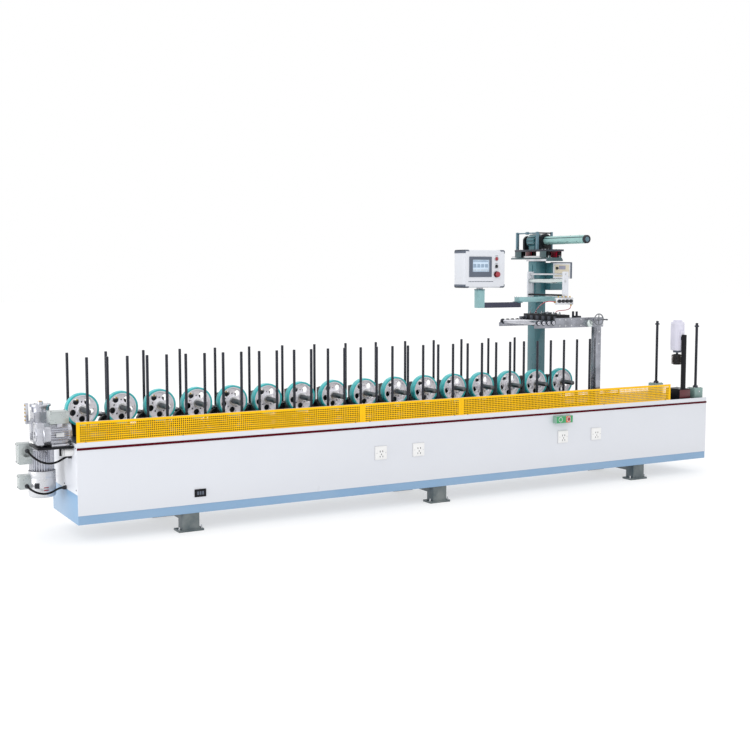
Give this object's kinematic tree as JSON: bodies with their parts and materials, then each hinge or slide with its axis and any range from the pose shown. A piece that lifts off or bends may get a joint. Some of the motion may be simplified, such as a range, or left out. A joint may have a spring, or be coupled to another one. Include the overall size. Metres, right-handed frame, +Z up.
{
  "type": "profile wrapping machine",
  "caption": "Long bed of driven feed wheels between guide posts, with yellow guards, end drives, foil unwinder, glue station and swivelling operator panel.",
  "frame": {"origin": "on the floor under the middle of the bed, at the centre of the floor anchor holes", "axes": "+X along the bed towards the infeed end, -Y towards the operator, +Z up"},
  "size_m": [5.892, 0.958, 2.119],
  "materials": {
    "blue_paint": "satin",
    "white_paint": "satin",
    "red_stripe": "satin",
    "yellow_paint": "satin",
    "dark_steel": "blackened",
    "bright_steel": "brushed",
    "cast_black": "painted black",
    "foot_steel": "satin",
    "wheel_cast": "cast aluminium disc with turquoise tyre",
    "cast_alu": "cast",
    "motor_paint": "silver paint",
    "black_paint": "satin",
    "cable_black": "matte",
    "hose_red": "gloss",
    "teal_paint": "satin",
    "arm_paint": "satin",
    "white_plastic": "fine grain",
    "grey_plastic": "fine grain",
    "red_plastic": "moulded",
    "green_plastic": "moulded",
    "orange_plastic": "moulded",
    "black_plastic": "moulded",
    "shaft_teal": "anodised",
    "roller_steel": "ground",
    "glue_grey": "satin",
    "guide_black": "blackened",
    "gate_green": "satin",
    "brush_hair": "bristles",
    "brush_white": "satin"
  },
  "bodies": {
    "bed": {"base_frame": "blue_paint", "feet": "foot_steel", "deck_plate": "white_paint", "front_panel": "white_paint", "stripe_strip": "red_stripe", "rear_panel": "white_paint", "end_panels": "white_paint", "guard_panels": "yellow_paint", "guide_posts": "dark_steel", "worm_gearboxes": "cast_black", "power_sockets": "white_plastic", "switch_box": "grey_plastic", "drive_gearbox": "cast_alu", "main_motor": "motor_paint", "fan_cowl": "motor_paint", "terminal_boxes": "cast_alu", "aux_motor": "motor_paint", "motor_shelf": "black_paint", "motor_cables": "cable_black", "column": "teal_paint", "hmi_arm": "arm_paint", "slide_rails": "dark_steel", "tension_box": "white_plastic", "roller_frame": "white_paint", "air_hoses": "hose_red", "glue_frame": "glue_grey", "glue_head": "guide_black", "gate_posts": "gate_green", "brush_motor": "brush_white"},
    "line_shaft": {"line_shaft": "bright_steel"},
    "start_button": {"start_button": "green_plastic"},
    "stop_button": {"stop_button": "orange_plastic"},
    "hmi": {"hmi_box": "white_paint"},
    "e_stop": {"e_stop": "red_plastic"},
    "hmi_button": {"hmi_button": "red_plastic"},
    "hmi_selector": {"hmi_selector": "black_plastic"},
    "carriage": {"carriage": "white_paint"},
    "reel_shaft": {"reel_shaft": "shaft_teal"},
    "guide_roller": {"guide_roller": "roller_steel"},
    "lower_roller": {"lower_roller": "roller_steel"},
    "handwheel": {"handwheel": "dark_steel"},
    "edge_guide": {"edge_guide": "guide_black"},
    "dust_brush": {"dust_brush": "brush_hair"},
    "feed_wheel_01": {"feed_wheel_01": "wheel_cast"},
    "feed_wheel_02": {"feed_wheel_02": "wheel_cast"},
    "feed_wheel_03": {"feed_wheel_03": "wheel_cast"},
    "feed_wheel_04": {"feed_wheel_04": "wheel_cast"},
    "feed_wheel_05": {"feed_wheel_05": "wheel_cast"},
    "feed_wheel_06": {"feed_wheel_06": "wheel_cast"},
    "feed_wheel_07": {"feed_wheel_07": "wheel_cast"},
    "feed_wheel_08": {"feed_wheel_08": "wheel_cast"},
    "feed_wheel_09": {"feed_wheel_09": "wheel_cast"},
    "feed_wheel_10": {"feed_wheel_10": "wheel_cast"},
    "feed_wheel_11": {"feed_wheel_11": "wheel_cast"},
    "feed_wheel_12": {"feed_wheel_12": "wheel_cast"},
    "feed_wheel_13": {"feed_wheel_13": "wheel_cast"},
    "feed_wheel_14": {"feed_wheel_14": "wheel_cast"},
    "feed_wheel_15": {"feed_wheel_15": "wheel_cast"},
    "feed_wheel_16": {"feed_wheel_16": "wheel_cast"}
  },
  "joints": [
    {"name": "feed_wheel_01_spin", "type": "hinge", "parent": "bed", "child": "feed_wheel_01", "pos_m": [-2.673, 0, 0.848], "axis": [0, 1, 0], "continuous": true},
    {"name": "feed_wheel_02_spin", "type": "hinge", "parent": "bed", "child": "feed_wheel_02", "pos_m": [-2.4, 0, 0.848], "axis": [0, 1, 0], "continuous": true},
    {"name": "feed_wheel_03_spin", "type": "hinge", "parent": "bed", "child": "feed_wheel_03", "pos_m": [-2.127, 0, 0.848], "axis": [0, 1, 0], "continuous": true},
    {"name": "feed_wheel_04_spin", "type": "hinge", "parent": "bed", "child": "feed_wheel_04", "pos_m": [-1.854, 0, 0.848], "axis": [0, 1, 0], "continuous": true},
    {"name": "feed_wheel_05_spin", "type": "hinge", "parent": "bed", "child": "feed_wheel_05", "pos_m": [-1.581, 0, 0.848], "axis": [0, 1, 0], "continuous": true},
    {"name": "feed_wheel_06_spin", "type": "hinge", "parent": "bed", "child": "feed_wheel_06", "pos_m": [-1.308, 0, 0.848], "axis": [0, 1, 0], "continuous": true},
    {"name": "feed_wheel_07_spin", "type": "hinge", "parent": "bed", "child": "feed_wheel_07", "pos_m": [-1.035, 0, 0.848], "axis": [0, 1, 0], "continuous": true},
    {"name": "feed_wheel_08_spin", "type": "hinge", "parent": "bed", "child": "feed_wheel_08", "pos_m": [-0.762, 0, 0.848], "axis": [0, 1, 0], "continuous": true},
    {"name": "feed_wheel_09_spin", "type": "hinge", "parent": "bed", "child": "feed_wheel_09", "pos_m": [-0.489, 0, 0.848], "axis": [0, 1, 0], "continuous": true},
    {"name": "feed_wheel_10_spin", "type": "hinge", "parent": "bed", "child": "feed_wheel_10", "pos_m": [-0.216, 0, 0.848], "axis": [0, 1, 0], "continuous": true},
    {"name": "feed_wheel_11_spin", "type": "hinge", "parent": "bed", "child": "feed_wheel_11", "pos_m": [0.057, 0, 0.848], "axis": [0, 1, 0], "continuous": true},
    {"name": "feed_wheel_12_spin", "type": "hinge", "parent": "bed", "child": "feed_wheel_12", "pos_m": [0.33, 0, 0.848], "axis": [0, 1, 0], "continuous": true},
    {"name": "feed_wheel_13_spin", "type": "hinge", "parent": "bed", "child": "feed_wheel_13", "pos_m": [0.603, 0, 0.848], "axis": [0, 1, 0], "continuous": true},
    {"name": "feed_wheel_14_spin", "type": "hinge", "parent": "bed", "child": "feed_wheel_14", "pos_m": [0.876, 0, 0.848], "axis": [0, 1, 0], "continuous": true},
    {"name": "feed_wheel_15_spin", "type": "hinge", "parent": "bed", "child": "feed_wheel_15", "pos_m": [1.149, 0, 0.848], "axis": [0, 1, 0], "continuous": true},
    {"name": "feed_wheel_16_spin", "type": "hinge", "parent": "bed", "child": "feed_wheel_16", "pos_m": [1.422, 0, 0.848], "axis": [0, 1, 0], "continuous": true},
    {"name": "line_shaft_spin", "type": "hinge", "parent": "bed", "child": "line_shaft", "pos_m": [-2.5, 0.11, 0.798], "axis": [1, 0, 0], "continuous": true},
    {"name": "start_push", "type": "slide", "parent": "bed", "child": "start_button", "axis": [0, 1, 0], "range_m": [0, 0.005], "stiffness_N_per_m": 400, "springref_m": -0.004},
    {"name": "stop_push", "type": "slide", "parent": "bed", "child": "stop_button", "axis": [0, 1, 0], "range_m": [0, 0.005], "stiffness_N_per_m": 400, "springref_m": -0.004},
    {"name": "hmi_swivel", "type": "hinge", "parent": "bed", "child": "hmi", "pos_m": [0.53, -0.075, 1.64], "axis": [0, 0, 1], "range_deg": [-75, 75]},
    {"name": "e_stop_push", "type": "slide", "parent": "hmi", "child": "e_stop", "axis": [0, 1, 0], "range_m": [0, 0.006], "stiffness_N_per_m": 1200, "springref_m": -0.003},
    {"name": "hmi_button_push", "type": "slide", "parent": "hmi", "child": "hmi_button", "axis": [0, 1, 0], "range_m": [0, 0.004], "stiffness_N_per_m": 400, "springref_m": -0.004},
    {"name": "hmi_selector_turn", "type": "hinge", "parent": "hmi", "child": "hmi_selector", "pos_m": [0.64, -0.15, 1.82], "axis": [0, 1, 0], "range_deg": [-45, 45]},
    {"name": "carriage_slide", "type": "slide", "parent": "bed", "child": "carriage", "axis": [0, 1, 0], "range_m": [-0.012, 0.06]},
    {"name": "reel_spin", "type": "hinge", "parent": "carriage", "child": "reel_shaft", "pos_m": [1.4, 0, 2.042], "axis": [0, 1, 0], "continuous": true},
    {"name": "guide_roller_spin", "type": "hinge", "parent": "bed", "child": "guide_roller", "pos_m": [1.27, 0, 1.7], "axis": [0, 1, 0], "continuous": true},
    {"name": "lower_roller_spin", "type": "hinge", "parent": "bed", "child": "lower_roller", "pos_m": [1.48, 0, 1.351], "axis": [0, 1, 0], "continuous": true},
    {"name": "handwheel_turn", "type": "hinge", "parent": "bed", "child": "handwheel", "pos_m": [1.546, -0.338, 1.383], "axis": [0, 1, 0], "range_deg": [-3600, 3600]},
    {"name": "edge_guide_slide", "type": "slide", "parent": "bed", "child": "edge_guide", "axis": [0, 1, 0], "range_m": [-0.05, 0.05]},
    {"name": "dust_brush_spin", "type": "hinge", "parent": "bed", "child": "dust_brush", "pos_m": [2.577, -0.185, 1], "axis": [0, 0, 1], "continuous": true}
  ],
  "couplings": [
    {"joint": "feed_wheel_02_spin", "follows": "feed_wheel_01_spin", "ratio": 1},
    {"joint": "feed_wheel_03_spin", "follows": "feed_wheel_01_spin", "ratio": 1},
    {"joint": "feed_wheel_04_spin", "follows": "feed_wheel_01_spin", "ratio": 1},
    {"joint": "feed_wheel_05_spin", "follows": "feed_wheel_01_spin", "ratio": 1},
    {"joint": "feed_wheel_06_spin", "follows": "feed_wheel_01_spin", "ratio": 1},
    {"joint": "feed_wheel_07_spin", "follows": "feed_wheel_01_spin", "ratio": 1},
    {"joint": "feed_wheel_08_spin", "follows": "feed_wheel_01_spin", "ratio": 1},
    {"joint": "feed_wheel_09_spin", "follows": "feed_wheel_01_spin", "ratio": 1},
    {"joint": "feed_wheel_10_spin", "follows": "feed_wheel_01_spin", "ratio": 1},
    {"joint": "feed_wheel_11_spin", "follows": "feed_wheel_01_spin", "ratio": 1},
    {"joint": "feed_wheel_12_spin", "follows": "feed_wheel_01_spin", "ratio": 1},
    {"joint": "feed_wheel_13_spin", "follows": "feed_wheel_01_spin", "ratio": 1},
    {"joint": "feed_wheel_14_spin", "follows": "feed_wheel_01_spin", "ratio": 1},
    {"joint": "feed_wheel_15_spin", "follows": "feed_wheel_01_spin", "ratio": 1},
    {"joint": "feed_wheel_16_spin", "follows": "feed_wheel_01_spin", "ratio": 1},
    {"joint": "line_shaft_spin", "follows": "feed_wheel_01_spin", "ratio": 10},
    {"joint": "edge_guide_slide", "follows": "handwheel_turn", "m_per_rad": 0.00079577}
  ]
}
